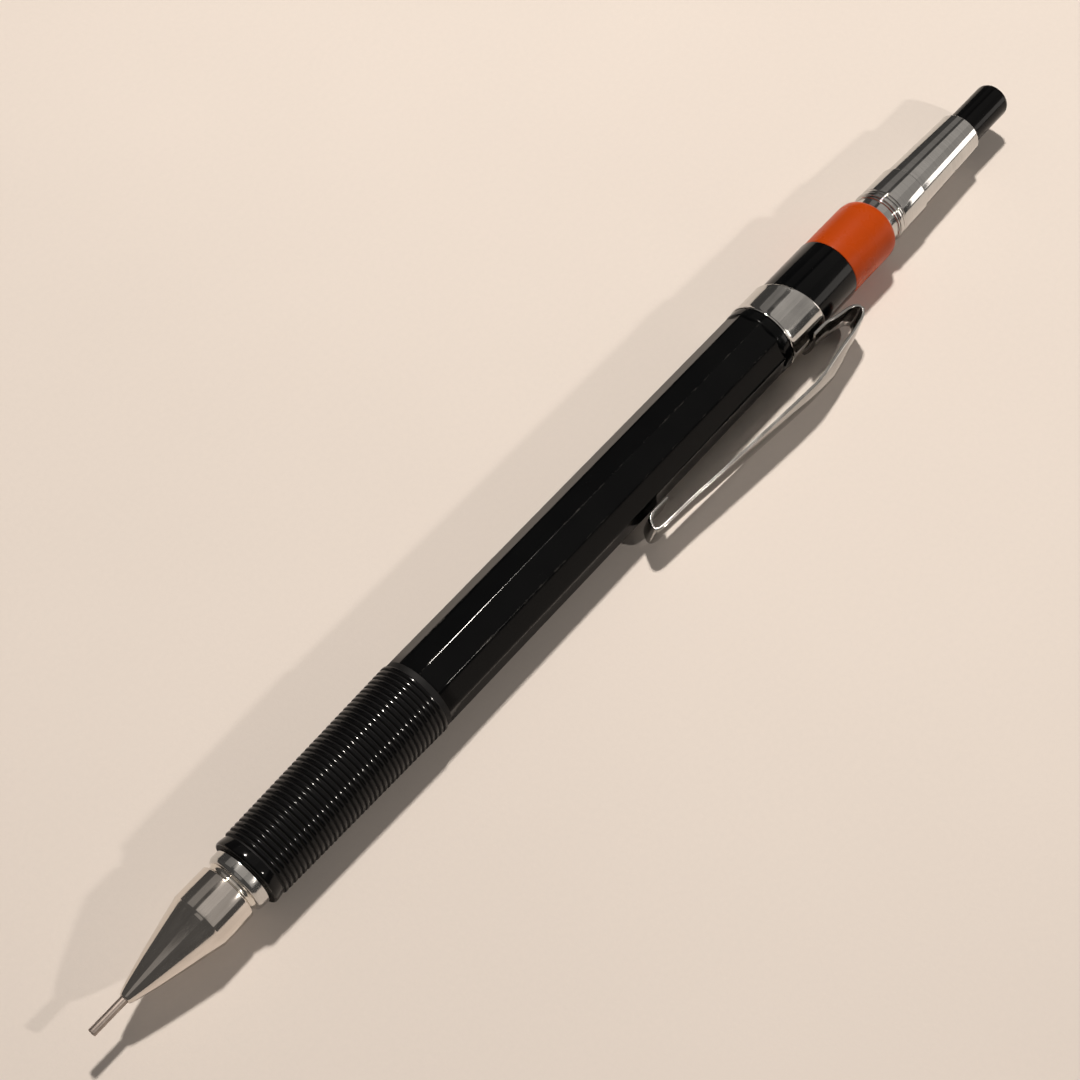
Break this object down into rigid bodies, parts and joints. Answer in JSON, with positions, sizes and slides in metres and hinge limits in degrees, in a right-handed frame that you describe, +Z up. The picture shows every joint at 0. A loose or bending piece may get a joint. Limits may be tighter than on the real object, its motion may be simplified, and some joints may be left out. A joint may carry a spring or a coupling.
{
  "type": "mechanical pencil",
  "caption": "Slim drafting pencil with ribbed grip, faceted black barrel, chrome clip, orange ring and push button; a chuck feeds thin lead.",
  "frame": {"origin": "middle of the pencil's footprint on the surface that it lies on", "axes": "+X along the pencil from the lead tip to the push button, +Z up; the clip is on the -Y side"},
  "size_m": [0.145, 0.013, 0.0085],
  "materials": {
    "sleeve_steel": "thin drawn tube, dull, slightly brown",
    "satin_chrome": "satin chrome, fine turning marks",
    "chrome": "polished chrome",
    "clip_chrome": "polished chrome with fine scratches",
    "black_ribbed": "gloss black, turned ribs",
    "black_gloss": "gloss black, flat facets with fine wear on the edges",
    "orange_gloss": "gloss orange",
    "button_black": "gloss black",
    "dark_rubber": "soft rubber",
    "eraser_white": "white eraser",
    "brass": "turned brass",
    "nickel": "nickel-plated brass, polished",
    "thin_steel": "drawn steel",
    "spring_steel": "spring wire",
    "nylon": "natural nylon",
    "graphite": "graphite lead"
  },
  "bodies": {
    "barrel": {"barrel": "black_gloss", "grip_sleeve": "black_ribbed", "collar_ring": "chrome", "front_bush": "nickel", "chuck_housing": "thin_steel", "chuck_spring": "spring_steel", "clip_band": "clip_chrome", "colour_ring": "orange_gloss", "rear_ferrule": "chrome", "rear_sleeve": "chrome", "tube_guide": "nylon"},
    "nose": {"nose_cone": "satin_chrome", "lead_sleeve": "sleeve_steel", "lead_retainer": "dark_rubber"},
    "clip": {"clip_arm": "clip_chrome"},
    "push_unit": {"lead_tube": "nylon", "eraser_holder": "thin_steel", "chuck_coupler": "brass", "chuck": "brass", "spare_leads": "graphite"},
    "cap": {"push_button": "button_black"},
    "eraser": {"eraser": "eraser_white", "cleaning_pin": "thin_steel"},
    "clutch": {"clutch_ring": "brass"},
    "lead": {"lead": "graphite"}
  },
  "joints": [
    {"name": "button_press", "type": "slide", "parent": "barrel", "child": "push_unit", "axis": [-1, 0, 0], "range_m": [0, 0.0025], "stiffness_N_per_m": 800, "springref_m": -0.001, "deforming": ["chuck_spring"]},
    {"name": "clutch_slide", "type": "slide", "parent": "barrel", "child": "clutch", "axis": [-1, 0, 0], "range_m": [0, 0.0006]},
    {"name": "lead_feed", "type": "slide", "parent": "barrel", "child": "lead", "axis": [-1, 0, 0], "range_m": [0, 0.0006]},
    {"name": "cap_pull", "type": "slide", "parent": "push_unit", "child": "cap", "axis": [1, 0, 0], "range_m": [0, 0.02]},
    {"name": "eraser_pull", "type": "slide", "parent": "push_unit", "child": "eraser", "axis": [1, 0, 0], "range_m": [0, 0.008]},
    {"name": "nose_unscrew", "type": "slide", "parent": "barrel", "child": "nose", "axis": [-1, 0, 0], "range_m": [0, 0.01]},
    {"name": "clip_flex", "type": "hinge", "parent": "barrel", "child": "clip", "pos_m": [0.03678, -0.00309, 0.00315], "axis": [0, -0.2079, 0.9781], "range_deg": [0, 3], "stiffness_Nm_per_rad": 1.2}
  ],
  "couplings": [
    {"joint": "clutch_slide", "follows": "button_press", "ratio": 0.24},
    {"joint": "lead_feed", "follows": "button_press", "ratio": 0.24},
    {"joint": "eraser_pull", "follows": "cap_pull", "ratio": 0.4}
  ]
}
